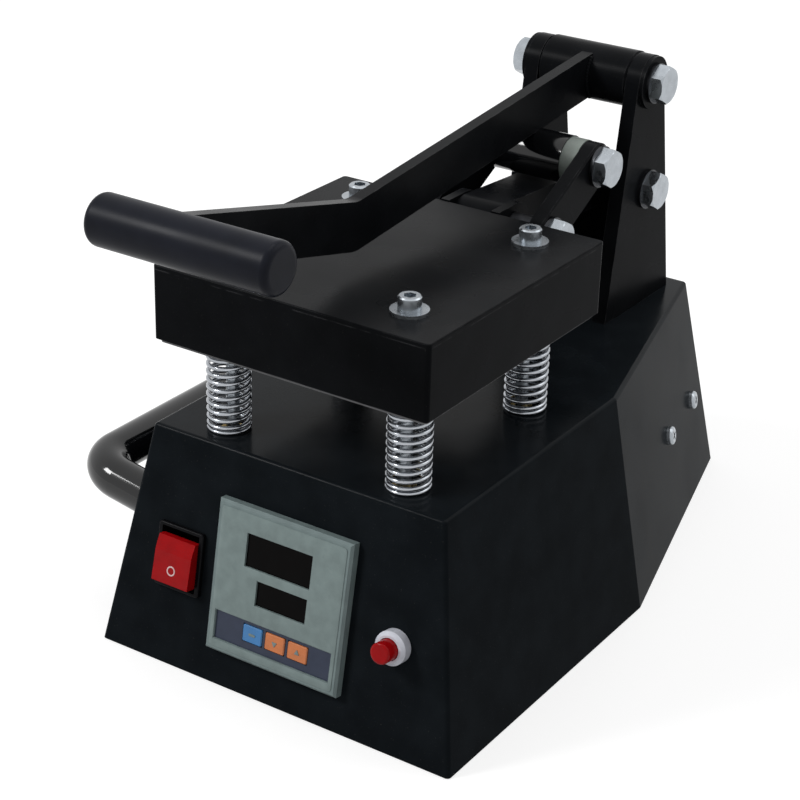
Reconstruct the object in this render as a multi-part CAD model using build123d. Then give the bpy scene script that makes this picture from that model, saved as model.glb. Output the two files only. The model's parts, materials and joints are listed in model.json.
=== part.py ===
from build123d import *
import math
import os

os.makedirs("parts", exist_ok=True)

# A small bench heat press: a black sheet housing with a temperature controller, a flat heated platen
# on four sprung guide screws, and a hand lever that works the platen through two links.
# Millimetres. +X is to the right seen from the front, +Y to the back, +Z up.
# The origin is at the centre of the underside. The pose is closed, with the lever down.

# Housing of folded sheet: every wall leans inwards towards the top
base_width = 193.0
base_depth = 341.1
base_height = 110.4
front_lean = 19.4
side_lean = 18.55
rear_lean = 23.9
facet_lean = 19.58
facet_angle = 14.65
sheet = 1.5
bend_radius = 2.0
bottom_sheet = 1.5
bottom_clearance = 0.4
vent_count = 8
vent_pitch = 26.0
vent_length = 60.0
vent_width = 4.0

# Heated platen, measured from the front bottom edge of the housing and from the bench
platen_width = 142.4
platen_length = 143.8
platen_front = 13.1
platen_bottom = 154.2
platen_thickness = 36.5
lid_thickness = 2.0
shroud_sheet = 1.5
lip = 1.8
heater_thickness = 14.0
insulation_thickness = 6.0
shroud_gap = 0.3
shroud_corner = 2.0
shroud_flange = 8.0
lid_edge = 0.7
felt_gap = 1.0
boss_r = 9.0
element_radius = 4.0
element_gap = 0.2
element_half = 34.0
element_out = 44.0
element_slant = 8.0
element_from_front = 30.0
element_turn = 34.0
element_bend = 11.0
element_from_rib = 6.0
element_floor = 5.0
probe_x = -60.0
probe_radius = 3.0
probe_length = 14.0
probe_across = 8.0
probe_head = 5.0

# Guide screws, their springs and bushes
guide_inset = 23.3
guide_side_inset = 25.0
screw_radius = 3.0
screw_end = 73.0
socket_head_radius = 5.1
socket_head_height = 6.0
socket_across = 5.0
socket_depth = 3.0
head_edge = 0.6
screw_point = 0.8
guide_washer_radius = 8.4
guide_washer_thickness = 1.6
seat_radius = 12.5
seat_thickness = 3.0
bush_clearance = 0.07
bush_radius = 5.5
bush_flange_radius = 10.0
bush_flange = 2.5
bush_length = 16.0
loose_fit = 0.2
spring_mean_radius = 9.2
spring_shift = 2.0
wire_radius = 1.05
spring_turns = 9.5
spring_bend = 2.5

# Pivots, as distance from the front bottom edge and height
hinge_d = 271.0
hinge_z = 229.3
mid_d = 214.0
mid_z = 202.5
low_d = 170.0
low_z = 179.7
arm_d = 275.0
arm_z = 172.9
bolt_radius = 5.0
hex_across = 17.0
hex_height = 6.4
thin_nut = 4.5
bolt_end = 1.0
washer_radius = 10.0
washer_thickness = 1.6
turning_fit = 0.06
side_gap = 0.3

# Uprights and the brace between them
upright_inner = 24.5
upright_thickness = 7.5
foot_front = 240.0
foot_rear = 307.4
upright_eye = 13.5
tab_front = 250.0
tab_rear = 306.0
tab_bottom = 52.0
tab_gap = 0.3
boss_radius = 13.2
boss_thickness = 2.0
brace_front = 290.0
brace_thickness = 4.0
brace_top = 166.0

# Lever
bar_thickness = 6.0
hinge_tube_radius = 14.0
cross_tube_radius = 11.8
cross_tube_half = 20.4
bush_ring_radius = 11.2
grip_radius = 11.0
grip_length = 88.8
grip_x = 2.6
grip_rounding = 3.0
grip_d = -52.0
grip_z = 238.0
bar_height = 22.0
bar_bend_d = 60.0
bar_bend_z = 210.7
bar_above_hinge = 1.0
bar_elbow = 20.0
tube_edge = 0.8

# Links and swing arm
link_thickness = 7.0
link_radius = 11.0
link_loose = 1.5
mid_bush_length = 8.2
arm_low_radius = 11.0
arm_high_radius = 13.0
arm_width = 22.4
arm_height = 22.0
arm_wall = 4.0
low_ring_wall = 3.0
lug_inner = 11.5
lug_thickness = 4.4
lug_radius = 11.5
slot_play = 0.4
slot_travel = 1.7
lug_reach = 15.0
rib_length = 30.0
rib_screw_radius = 3.0
rib_screw_across = 10.0
rib_screw_head = 4.0
rib_screw_grip = 8.0
rib_screw_front = 11.0
rib_screw_pitch = 12.0
rib_screw_rise = 12.0
lug_setback = 4.0
lug_under_lid = 1.5

# Control panel on the leaning front wall: x, distance up the wall, and distance out of it
control_x = 2.0
control_v = 54.3
control_size = 72.0
control_proud = 5.0
control_rim = 1.2
control_plate = 2.0
control_body = 66.4
control_depth = 60.0
control_wall = 2.0
panel_gap = 0.4
window_width = 35.3
window_height = 15.8
window_x = -1.1
window_v = 16.8
low_window_width = 27.3
low_window_height = 11.8
low_window_x = 2.5
low_window_v = -1.7
window_thickness = 1.2
band_width = 63.0
band_height = 13.8
band_v = -22.9
band_recess = 0.8
key_width = 10.5
key_height = 8.0
key_pitch = 12.3
key_x = 1.4
key_v = -22.0
key_proud = 0.6
key_travel = 0.6
key_gap = 0.3
key_depth = 2.6
key_corner = 0.8
key_edge = 0.4
key_stem = 4.0
switch_post = 6.0
switch_post_height = 3.0
digit_depth = 7.0
digit_inset = 1.5
digit_gap = 0.3
board_thickness = 1.6
case_step = 3.0
case_rail = 20.0
case_terminals = 18.0
case_terminals_depth = 6.0
trim_gap = 0.1

rocker_from_control = 8.55
rocker_v = 53.2
rocker_bezel_width = 25.5
rocker_x = control_x - control_size / 2 - rocker_from_control - rocker_bezel_width / 2
rocker_bezel_height = 31.0
rocker_bezel_proud = 2.2
rocker_width = 20.5
rocker_gap = 0.3
rocker_well_half = 13.6
rocker_body = 22.0
rocker_well = 9.0
rocker_corner = 1.5
rocker_foot = 11.2
rocker_foot_rise = 7.4
rocker_crease = 3.5
rocker_crease_rise = 6.3
rocker_fall = 6.4
rocker_fall_rise = 5.6
rocker_head = 10.3
rocker_head_rise = 4.2
rocker_edge = 0.8
rocker_under = 7.0
rocker_under_half = 6.5

button_from_control = 24.1
button_x = control_x + control_size / 2 + button_from_control
button_v = 50.6
button_bezel_radius = 7.8
button_bezel_proud = 6.0
button_neck_radius = 6.9
button_neck = 20.0
button_cap_radius = 4.9
button_cap_proud = 13.0
button_cap_inside = 2.5
button_travel = 3.0
button_nut = 3.0
button_bezel_edge = 1.6
button_cap_round = 1.2
button_under = 0.5
button_nut_across = 17.0

# Carry handle on the left wall
handle_radius = 10.0
handle_front = 26.5
handle_span = 130.0
handle_shoulder = 17.25
handle_z = 66.5
handle_reach = 36.5
handle_bend = 16.0
handle_stud = 4.0
handle_stud_length = 14.0
handle_nut_across = 13.0
handle_nut_height = 6.5
handle_washer_radius = 7.5
handle_washer = 1.6

# The side walls run straight as far as the handle needs, and the rear facets start there
shoulder_depth = handle_front + handle_span + handle_shoulder

# Screws in the rear facets, the frame inside that they hold, and the bottom plate's screws
facet_screws_at = [(306.0, 49.0), (255.0, 52.0)]
facet_screw_radius = 2.5
facet_head_radius = 4.8
facet_head_height = 3.0
facet_screw_length = 9.0
facet_slot = 1.0
facet_slot_length = 5.4
frame_plate = 4.0
cheek_drop = 4.0
cheek_margin = 6.0
wing_low = 38.0
wing_high = 64.0
web_spots = [268.0, 288.0]
frame_bolt_radius = 3.0
frame_bolt_spots = [(262.0, 72.0), (284.0, 72.0)]
frame_head_across = 10.0
frame_head_height = 4.0
lug_size = 12.0
lug_height = 7.0
front_lug_in = 36.5
front_lug_d = 10.0
side_lug_in = 10.0
side_lug_d = 120.0
rear_lug_in = 10.0
rear_lug_d = 322.0
bottom_screw_radius = 1.5
bottom_head_radius = 3.0
bottom_screw_length = 7.5
bottom_cross = 1.6
bottom_cross_slot = 0.8

# Mains inlet in the rear wall
inlet_v = 42.0
inlet_width = 48.0
inlet_height = 27.0
inlet_corner = 5.0
inlet_flange = 2.5
inlet_body_width = 28.0
inlet_body_height = 21.0
inlet_depth = 26.0
inlet_pocket_width = 24.0
inlet_pocket_height = 16.5
inlet_pocket = 19.0
inlet_screw_pitch = 39.0
inlet_screw_head = 2.8
inlet_screw_head_height = 2.0
pin_length = 10.0
pin_width = 2.0
pin_height = 4.0
pin_across = 7.0
pin_offset = 2.0
tail_thickness = 0.8
tail_width = 4.8
tail_length = 8.0

# Relay and terminal block on the bottom plate, and the grommet for the heater leads
relay_x = -39.5
relay_d = 214.0
relay_width = 45.0
relay_length = 58.0
relay_height = 22.0
relay_corner = 2.0
relay_screw_radius = 3.2
relay_screw_in = 10.0
relay_screw_end = 5.0
relay_screw_sink = 4.0
terminal_x = 42.0
terminal_d = 199.0
terminal_ways = 4
terminal_pitch = 10.0
terminal_length = 18.0
terminal_height = 14.0
terminal_hole = 2.2
terminal_rows = 8.0
terminal_sink = 6.0
grommet_x = -50.0
grommet_d = 170.0
grommet_hole = 6.0
grommet_wall = 3.0
grommet_lip = 2.5


def at(distance):
    return distance - base_depth / 2


def block(x0, x1, y0, y1, z0, z1):
    return Pos((x0 + x1) / 2, (y0 + y1) / 2, (z0 + z1) / 2) * Box(x1 - x0, y1 - y0, z1 - z0)


def rod_z(x, y, z0, z1, radius):
    return Pos(x, y, (z0 + z1) / 2) * Cylinder(radius, z1 - z0)


def rod_x(x0, x1, y, z, radius):
    return Pos((x0 + x1) / 2, y, z) * Rot(0, 90, 0) * Cylinder(radius, abs(x1 - x0))


def side_plane(x):
    return Plane(origin=(x, 0, 0), x_dir=(0, 1, 0), z_dir=(1, 0, 0))


def side_plate(points, x0, x1):
    outline = make_face(Polyline(*points, close=True))
    return extrude(side_plane(x0) * outline, x1 - x0)


def slot_x(x0, x1, y0, y1, z, radius):
    body = block(x0, x1, y0, y1, z - radius, z + radius)
    return body + rod_x(x0, x1, y0, z, radius) + rod_x(x0, x1, y1, z, radius)


def hex_prism(across, height):
    prism = extrude(RegularPolygon(across / 2, 6, major_radius=False), height)
    corner = across / math.sqrt(3)
    cone = Pos(0, 0, height / 2) * Cylinder(corner, height)
    cone = chamfer(cone.edges().group_by(Axis.Z)[-1], 0.07 * across)
    return prism & cone


def hex_x(x, outward, y, z, across, height):
    turn = 90 if outward > 0 else -90
    return Pos(x, y, z) * Rot(0, turn, 0) * hex_prism(across, height)


def group(name, solids):
    return Compound(label=name, children=solids)


def save(name, shape):
    shape.label = name
    export_step(shape, "parts/" + name + ".step")
    solids = shape.solids()
    print(f"{name:24s} solids {len(solids)}  volume {sum(s.volume for s in solids):10.1f}")


# Housing walls as lines in plan: direction outwards, distance at the bench, lean over the height
facet_c = math.cos(math.radians(facet_angle))
facet_s = math.sin(math.radians(facet_angle))
facet_reach = facet_c * base_width / 2 + facet_s * at(shoulder_depth)
walls = [
    (0.0, -1.0, base_depth / 2, front_lean),
    (1.0, 0.0, base_width / 2, side_lean),
    (facet_c, facet_s, facet_reach, facet_lean),
    (0.0, 1.0, base_depth / 2, rear_lean),
    (-facet_c, facet_s, facet_reach, facet_lean),
    (-1.0, 0.0, base_width / 2, side_lean),
]


def plan(z, inset):
    lines = []
    for nx, ny, reach, lean in walls:
        rate = lean / base_height
        lines.append((nx, ny, reach - rate * z - inset * math.sqrt(1 + rate * rate)))
    points = []
    for i in range(len(lines)):
        a = lines[i]
        b = lines[(i + 1) % len(lines)]
        det = a[0] * b[1] - a[1] * b[0]
        points.append(((a[2] * b[1] - b[2] * a[1]) / det, (a[0] * b[2] - b[0] * a[2]) / det, z))
    return points


def frustum(z0, z1, inset):
    low = Wire.make_polygon([Vector(*p) for p in plan(z0, inset)], close=True)
    high = Wire.make_polygon([Vector(*p) for p in plan(z1, inset)], close=True)
    return Part() + Solid.make_loft([low, high], True)


# Planes on the walls, with x to the right and y up the wall seen from outside
front = Plane(origin=(0, at(0), 0), x_dir=(1, 0, 0), z_dir=(0, -base_height, front_lean))
rear = Plane(origin=(0, at(base_depth), 0), x_dir=(-1, 0, 0), z_dir=(0, base_height, rear_lean))
top_in = base_height - sheet
guide_x = platen_width / 2 - guide_side_inset
guide_d = (platen_front + guide_inset, platen_front + platen_length - guide_inset)
guides = [(sx * guide_x, at(d)) for sx in (-1, 1) for d in guide_d]


def facet_at(side, distance, z):
    x = (facet_reach - facet_lean / base_height * z - facet_s * at(distance)) / facet_c
    normal = (side * facet_c, facet_s, facet_lean / base_height)
    along = (side * facet_s, -facet_c, 0)
    return Plane(origin=(side * x, at(distance), z), x_dir=along, z_dir=normal)


def side_wall_at(distance, z):
    x = -(base_width / 2 - side_lean / base_height * z)
    normal = (-1, 0, side_lean / base_height)
    return Plane(origin=(x, at(distance), z), x_dir=(0, -1, 0), z_dir=normal)


def half_width(distance):
    facet = (facet_reach - facet_s * at(distance)) / facet_c
    return min(base_width / 2, facet)


lug_spots = []
for inward, distance in ((front_lug_in, front_lug_d), (side_lug_in, side_lug_d), (rear_lug_in, rear_lug_d)):
    for sx in (-1, 1):
        lug_spots.append((sx * (half_width(distance) - inward), distance))

# Base shell
outer = frustum(0, base_height, 0)
bends = outer.edges().filter_by(lambda e: e.bounding_box().max.Z > 1)
shell = fillet(bends, bend_radius) - frustum(-1, top_in, sheet)
for x, d in lug_spots:
    half = lug_size
    lug = block(x - half, x + half, at(d) - half, at(d) + half, bottom_sheet, bottom_sheet + lug_height)
    keep = frustum(bottom_sheet, bottom_sheet + lug_height, sheet / 2)
    shell = shell + (lug & keep)
for x, d in lug_spots:
    shell = shell - rod_z(x, at(d), 0, bottom_sheet + lug_height + 1, bottom_screw_radius)
cut_size = control_body + panel_gap
shell = shell - front * (Pos(control_x, control_v, 0) * Box(cut_size, cut_size, 8 * sheet))
rocker_cut_x = rocker_width + 2 * rocker_gap + 2
rocker_cut_y = 2 * (rocker_well_half + rocker_gap) + 2
rocker_cut = Box(rocker_cut_x + panel_gap, rocker_cut_y + panel_gap, 8 * sheet)
shell = shell - front * (Pos(rocker_x, rocker_v, 0) * rocker_cut)
shell = shell - front * (Pos(button_x, button_v, 0) * Cylinder(button_neck_radius + loose_fit, 8 * sheet))
inlet_cut = Box(inlet_body_width + panel_gap, inlet_body_height + panel_gap, 8 * sheet)
shell = shell - rear * (Pos(0, inlet_v, 0) * inlet_cut)
for sx in (-1, 1):
    spot = Pos(sx * inlet_screw_pitch / 2, inlet_v, 0)
    shell = shell - rear * (spot * Cylinder(bottom_screw_radius, 8 * sheet))
for x, y in guides:
    shell = shell - rod_z(x, y, top_in - 1, base_height + 1, bush_radius)
slot_y0 = at(tab_front) - tab_gap
slot_y1 = at(tab_rear) + tab_gap
for sx in (-1, 1):
    x_in = upright_inner - tab_gap
    x_out = upright_inner + upright_thickness + tab_gap
    slot = block(min(sx * x_in, sx * x_out), max(sx * x_in, sx * x_out), slot_y0, slot_y1, top_in - 1,
                 base_height + 1)
    shell = shell - slot
shell = shell - rod_z(grommet_x, at(grommet_d), top_in - 1, base_height + 1, grommet_hole)
for side in (-1, 1):
    for d, z in facet_screws_at:
        hole = Cylinder(facet_screw_radius + loose_fit, 8 * sheet)
        shell = shell - facet_at(side, d, z) * hole
for d in (handle_front, handle_front + handle_span):
    shell = shell - side_wall_at(d, handle_z) * Cylinder(handle_stud + loose_fit, 8 * sheet)
save("base_shell", shell)

# Bottom plate with a row of vents, and its countersunk screws
plate = frustum(0, bottom_sheet, sheet + bottom_clearance)
for i in range(vent_count):
    y = (i - (vent_count - 1) / 2) * vent_pitch
    plate = plate - Pos(0, y, 0) * extrude(SlotOverall(vent_length, vent_width), 2 * bottom_sheet, both=True)
housing_screws = []
for x, d in lug_spots:
    cone_top = bottom_head_radius - bottom_screw_radius
    hole = Pos(x, at(d), 0) * Cone(bottom_head_radius + trim_gap, bottom_screw_radius + trim_gap, cone_top,
                                   align=(Align.CENTER, Align.CENTER, Align.MIN))
    plate = plate - hole - rod_z(x, at(d), -1, bottom_sheet + 1, bottom_screw_radius + trim_gap)
    head = Pos(x, at(d), 0) * Cone(bottom_head_radius, bottom_screw_radius, cone_top,
                                   align=(Align.CENTER, Align.CENTER, Align.MIN))
    screw = head + rod_z(x, at(d), cone_top / 2, bottom_screw_length, bottom_screw_radius)
    for turn in (0, 90):
        slot = Rot(0, 0, turn) * Box(2 * bottom_cross, bottom_cross_slot, 2 * bottom_cross_slot)
        screw = screw - Pos(x, at(d), 0) * slot
    housing_screws.append(screw)
save("bottom_plate", plate)

# Inner frame that carries the uprights and is screwed to the rear facets
upright_outer = upright_inner + upright_thickness
cheek_top = top_in - cheek_drop
cheek_front = tab_front - cheek_margin
cheek_rear = tab_rear
frame = block(-upright_outer - frame_plate, upright_outer + frame_plate, at(cheek_front), at(cheek_rear),
              bottom_sheet, bottom_sheet + frame_plate)
hug = frustum(wing_low, wing_high, sheet) - frustum(wing_low - 1, wing_high + 1, sheet + frame_plate)
for sx in (-1, 1):
    x0 = min(sx * upright_outer, sx * (upright_outer + frame_plate))
    x1 = max(sx * upright_outer, sx * (upright_outer + frame_plate))
    frame = frame + block(x0, x1, at(cheek_front), at(cheek_rear), bottom_sheet, cheek_top)
    near = min(sx * (upright_outer + frame_plate / 2), sx * base_width / 2)
    far = max(sx * (upright_outer + frame_plate / 2), sx * base_width / 2)
    wing = block(near, far, at(cheek_front), at(cheek_rear) + cheek_margin, wing_low, wing_high)
    frame = frame + (wing & hug)
    for d in web_spots:
        web = block(near, far, at(d), at(d) + frame_plate, wing_low, wing_high)
        frame = frame + (web & frustum(wing_low, wing_high, sheet + frame_plate / 2))
for d, z in frame_bolt_spots:
    reach = upright_outer + frame_plate + 1
    frame = frame - rod_x(-reach, reach, at(d), z, frame_bolt_radius)
for side in (-1, 1):
    for d, z in facet_screws_at:
        hole = Pos(0, 0, -facet_screw_length) * Cylinder(facet_screw_radius, 2 * facet_screw_length)
        frame = frame - facet_at(side, d, z) * hole
save("inner_frame", frame)

for side in (-1, 1):
    for d, z in facet_screws_at:
        head = Pos(0, 0, facet_head_height / 2) * Cylinder(facet_head_radius, facet_head_height)
        head = fillet(head.edges().group_by(Axis.Z)[-1], facet_head_height / 2)
        head = head + Pos(0, 0, -facet_screw_length / 2) * Cylinder(facet_screw_radius, facet_screw_length)
        for turn in (0, 90):
            slot = Box(facet_slot_length, facet_slot, facet_head_height)
            head = head - Pos(0, 0, facet_head_height) * Rot(0, 0, turn + 20) * slot
        housing_screws.append(facet_at(side, d, z) * head)
save("housing_screws", group("housing_screws", housing_screws))

frame_bolts = []
for d, z in frame_bolt_spots:
    for sx in (-1, 1):
        x0 = sx * upright_inner
        x1 = sx * (upright_outer + frame_plate)
        bolt = rod_x(x0, x1, at(d), z, frame_bolt_radius)
        frame_bolts.append(bolt + hex_x(x1, sx, at(d), z, frame_head_across, frame_head_height))
save("frame_bolts", group("frame_bolts", frame_bolts))

# Uprights: a plate that narrows to a round eye, a welded boss at the hinge and a tab through the housing top
def eye_touch(foot, turn):
    along = at(foot) - at(hinge_d)
    down = base_height - hinge_z
    angle = math.atan2(down, along) + turn * math.acos(upright_eye / math.hypot(along, down))
    return (at(hinge_d) + upright_eye * math.cos(angle), hinge_z + upright_eye * math.sin(angle))


upright_points = [
    (at(foot_front), base_height),
    (at(tab_front), base_height),
    (at(tab_front), tab_bottom),
    (at(tab_rear), tab_bottom),
    (at(tab_rear), base_height),
    (at(foot_rear), base_height),
    eye_touch(foot_rear, 1),
    eye_touch(foot_front, -1),
]
bolt_holes = [(hinge_d, hinge_z), (arm_d, arm_z)]
across = base_width / 2
for side, name in ((-1, "upright_left"), (1, "upright_right")):
    x0 = min(side * upright_inner, side * upright_outer)
    x1 = max(side * upright_inner, side * upright_outer)
    body = side_plate(upright_points, x0, x1)
    body = body + rod_x(x0, x1, at(hinge_d), hinge_z, upright_eye)
    body = body + rod_x(side * upright_outer, side * (upright_outer + boss_thickness), at(hinge_d), hinge_z,
                        boss_radius)
    for d, z in bolt_holes:
        body = body - rod_x(-across, across, at(d), z, bolt_radius)
    for d, z in frame_bolt_spots:
        body = body - rod_x(-across, across, at(d), z, frame_bolt_radius)
    save(name, body)
brace = block(-upright_inner, upright_inner, at(brace_front), at(brace_front) + brace_thickness, base_height,
              brace_top)
save("rear_brace", brace)


def ring_x(x0, x1, y, z, radius, bore):
    return rod_x(x0, x1, y, z, radius) - rod_x(min(x0, x1) - 1, max(x0, x1) + 1, y, z, bore)


def bolt_x(left, right, y, z, nut_height):
    shank = rod_x(left - nut_height - bolt_end, right, y, z, bolt_radius)
    return shank + hex_x(right, 1, y, z, hex_across, hex_height)


def nut_x(left, y, z, nut_height):
    return hex_x(left, -1, y, z, hex_across, nut_height) - rod_x(-across, across, y, z, bolt_radius)


hinge_face = upright_outer + boss_thickness + washer_thickness
arm_face = upright_outer + washer_thickness
upright_bolts = []
upright_nuts = []
upright_washers = []
for (d, z), face in zip(bolt_holes, (hinge_face, arm_face)):
    upright_bolts.append(bolt_x(-face, face, at(d), z, hex_height))
    upright_nuts.append(nut_x(-face, at(d), z, hex_height))
    for sx in (-1, 1):
        x0 = sx * (face - washer_thickness)
        upright_washers.append(ring_x(x0, sx * face, at(d), z, washer_radius, bolt_radius))
save("upright_bolts", group("upright_bolts", upright_bolts))
save("upright_nuts", group("upright_nuts", upright_nuts))
save("upright_washers", group("upright_washers", upright_washers))

# Bushes in the housing top that the guide screws slide in
bushes = []
for x, y in guides:
    bush = rod_z(x, y, base_height - bush_length, base_height, bush_radius)
    bush = bush + rod_z(x, y, top_in - bush_flange, top_in, bush_flange_radius)
    bushes.append(bush - rod_z(x, y, 0, base_height + 1, screw_radius + bush_clearance))
save("guide_bushes", group("guide_bushes", bushes))

# Temperature controller on the front wall
window = (window_x, window_v, window_width, window_height)
low_window = (low_window_x, low_window_v, low_window_width, low_window_height)
inside_out = control_proud - control_plate
bezel = Pos(0, 0, control_proud / 2) * Box(control_size, control_size, control_proud)
bezel = chamfer(bezel.edges().group_by(Axis.Z)[-1], control_rim)
hollow = control_size - 3 * control_wall
bezel = bezel - Pos(0, 0, inside_out / 2) * Box(hollow, hollow, inside_out)
for wx, wv, ww, wh in (window, low_window):
    bezel = bezel - Pos(wx, wv, control_proud) * Box(ww, wh, 3 * control_plate)
bezel = bezel - Pos(0, band_v, control_proud) * Box(band_width, band_height, 3 * control_plate)
control = front * Pos(control_x, control_v, 0)
save("controller_bezel", control * bezel)

lights = []
digits = []
for wx, wv, ww, wh in (window, low_window):
    pane = Box(ww - 2 * trim_gap, wh - 2 * trim_gap, window_thickness)
    lights.append(control * (Pos(wx, wv, control_proud - band_recess - window_thickness / 2) * pane))
    digit = Box(ww - 2 * digit_inset, wh - 2 * digit_inset, digit_depth)
    digit_out = control_proud - band_recess - window_thickness - digit_gap - digit_depth / 2
    digits.append(control * (Pos(wx, wv, digit_out) * digit))
save("controller_windows", group("controller_windows", lights))
save("controller_digits", group("controller_digits", digits))

band_top = control_proud - band_recess
band = Box(band_width - 2 * trim_gap, band_height - 2 * trim_gap, window_thickness)
band = Pos(0, band_v, band_top - window_thickness / 2) * band
key_spots = [key_x - key_pitch, key_x, key_x + key_pitch]
for kx in key_spots:
    key_hole = Box(key_width + 2 * key_gap, key_height + 2 * key_gap, 4 * window_thickness)
    band = band - Pos(kx, key_v, band_top) * key_hole
save("controller_band", control * band)

board_out = band_top - window_thickness - digit_gap - digit_depth
cavity = control_body - 2 * control_wall
board_size = cavity - 2 * digit_gap
board = Pos(0, 0, board_out - board_thickness / 2) * Box(board_size, board_size, board_thickness)
post_top = board_out + switch_post_height
for kx in key_spots:
    post = Box(switch_post, switch_post, switch_post_height)
    board = board + Pos(kx, key_v, post_top - switch_post_height / 2) * post
save("controller_board", control * board)

case = Pos(0, 0, -control_depth / 2) * Box(control_body, control_body, control_depth)
case = case - Pos(0, 0, -control_depth / 2 + control_wall) * Box(cavity, cavity, control_depth)
for sx in (-1, 1):
    rail = Pos(sx * (cavity - case_step) / 2, 0, board_out - board_thickness - case_step)
    case = case + rail * Box(case_step, case_rail, 2 * case_step)
terminals = Box(cavity - 2 * control_wall, case_terminals, case_terminals_depth)
case = case + Pos(0, 0, -control_depth - case_terminals_depth / 2) * terminals
save("controller_case", control * case)

key_low = band_top + key_proud - key_depth
key_names = ("key_set", "key_down", "key_up")
for kx, name in zip(key_spots, key_names):
    key = Pos(kx, key_v, key_low + key_depth / 2) * Box(key_width, key_height, key_depth)
    key = fillet(key.edges().filter_by(Axis.Z), key_corner)
    key = chamfer(key.edges().group_by(Axis.Z)[-1], key_edge)
    stem_low = post_top + key_travel + key_gap
    stem = Box(key_stem, key_stem, key_low - stem_low)
    key = key + Pos(kx, key_v, (key_low + stem_low) / 2) * stem
    save(name, control * key)

# Mains rocker switch: a bezel with its snap-in body, and the rocker
switch = front * Pos(rocker_x, rocker_v, 0)
frame_piece = Pos(0, 0, rocker_bezel_proud / 2) * Box(rocker_bezel_width, rocker_bezel_height,
                                                      rocker_bezel_proud)
frame_piece = fillet(frame_piece.edges().filter_by(Axis.Z), rocker_corner)
frame_piece = fillet(frame_piece.edges().group_by(Axis.Z)[-1], rocker_corner / 2)
frame_piece = frame_piece + Pos(0, 0, -rocker_body / 2) * Box(rocker_cut_x, rocker_cut_y, rocker_body)
well_depth = rocker_well + rocker_bezel_proud
well = Box(rocker_width + 2 * rocker_gap, 2 * (rocker_well_half + rocker_gap), well_depth)
frame_piece = frame_piece - Pos(0, 0, rocker_bezel_proud - well_depth / 2) * well
for sx in (-1, 1):
    for sv in (-1, 1):
        blade = Pos(sx * rocker_width / 4, sv * rocker_well_half / 2, -rocker_body - tail_length / 2)
        frame_piece = frame_piece + blade * Box(tail_thickness, tail_width, tail_length)
save("rocker_bezel", switch * frame_piece)

rocker_points = [
    (-rocker_foot, rocker_edge),
    (-rocker_foot, rocker_foot_rise),
    (rocker_crease, rocker_crease_rise),
    (rocker_fall, rocker_fall_rise),
    (rocker_head, rocker_head_rise),
    (rocker_head, rocker_edge),
    (rocker_under_half, -rocker_under),
    (-rocker_under_half, -rocker_under),
]
profile = make_face(Polyline(*rocker_points, close=True))
rocker_plane = Plane(origin=(-rocker_width / 2, 0, 0), x_dir=(0, 1, 0), z_dir=(1, 0, 0))
rocker_piece = extrude(rocker_plane * profile, rocker_width)
save("rocker", switch * rocker_piece)

# Push button: white bezel and neck, nut inside, red cap
place = front * Pos(button_x, button_v, 0)
ring = Pos(0, 0, button_bezel_proud / 2) * Cylinder(button_bezel_radius, button_bezel_proud)
ring = chamfer(ring.edges().group_by(Axis.Z)[-1], button_bezel_edge)
ring = ring + Pos(0, 0, -button_neck / 2) * Cylinder(button_neck_radius, button_neck)
bore_low = -(button_cap_inside + button_travel + button_under)
bore_length = button_bezel_proud + 1 - bore_low
cap_bore = Cylinder(button_cap_radius + key_gap, bore_length)
ring = ring - Pos(0, 0, bore_low + bore_length / 2) * cap_bore
save("button_bezel", place * ring)
nut = Pos(0, 0, -sheet - button_nut) * hex_prism(button_nut_across, button_nut)
nut = nut - Cylinder(button_neck_radius, 3 * button_neck)
save("button_nut", place * nut)
cap_length = button_cap_proud + button_cap_inside
cap = Pos(0, 0, (button_cap_proud - button_cap_inside) / 2) * Cylinder(button_cap_radius, cap_length)
cap = fillet(cap.edges().group_by(Axis.Z)[-1], button_cap_round)
save("button_cap", place * cap)

# Mains inlet on the rear wall, with its pins and screws
inlet_place = rear * Pos(0, inlet_v, 0)
inlet = Pos(0, 0, inlet_flange / 2) * Box(inlet_width, inlet_height, inlet_flange)
inlet = fillet(inlet.edges().filter_by(Axis.Z), inlet_corner)
inlet = inlet + Pos(0, 0, -inlet_depth / 2) * Box(inlet_body_width, inlet_body_height, inlet_depth)
pocket_centre = inlet_flange - inlet_pocket / 2
pocket = Box(inlet_pocket_width, inlet_pocket_height, inlet_pocket)
inlet = inlet - Pos(0, 0, pocket_centre) * pocket
pins = []
pin_low = inlet_flange - inlet_pocket
pin_spots = [(-pin_across, -pin_offset), (pin_across, -pin_offset), (0.0, pin_offset)]
for px, pv in pin_spots:
    pin = Pos(px, pv, pin_low + pin_length / 2) * Box(pin_width, pin_height, pin_length)
    tail = Pos(px, pv, -inlet_depth - tail_length / 2) * Box(tail_thickness, tail_width, tail_length)
    pins.append(inlet_place * pin)
    pins.append(inlet_place * tail)
for sx in (-1, 1):
    inlet = inlet - Pos(sx * inlet_screw_pitch / 2, 0, 0) * Cylinder(bottom_screw_radius, inlet_height)
save("power_inlet", inlet_place * inlet)
save("inlet_pins", group("inlet_pins", pins))
inlet_screws = []
for sx in (-1, 1):
    head = Pos(0, 0, inlet_flange + inlet_screw_head_height / 2)
    head = head * Cylinder(inlet_screw_head, inlet_screw_head_height)
    head = fillet(head.edges().group_by(Axis.Z)[-1], inlet_screw_head_height / 2)
    shank = Cylinder(bottom_screw_radius, bottom_screw_length)
    shank = Pos(0, 0, inlet_flange - bottom_screw_length / 2) * shank
    slot = Box(2 * bottom_cross, bottom_cross_slot, inlet_screw_head_height)
    head = head + shank - Pos(0, 0, inlet_flange + inlet_screw_head_height) * slot
    inlet_screws.append(inlet_place * (Pos(sx * inlet_screw_pitch / 2, 0, 0) * head))
save("inlet_screws", group("inlet_screws", inlet_screws))

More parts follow.
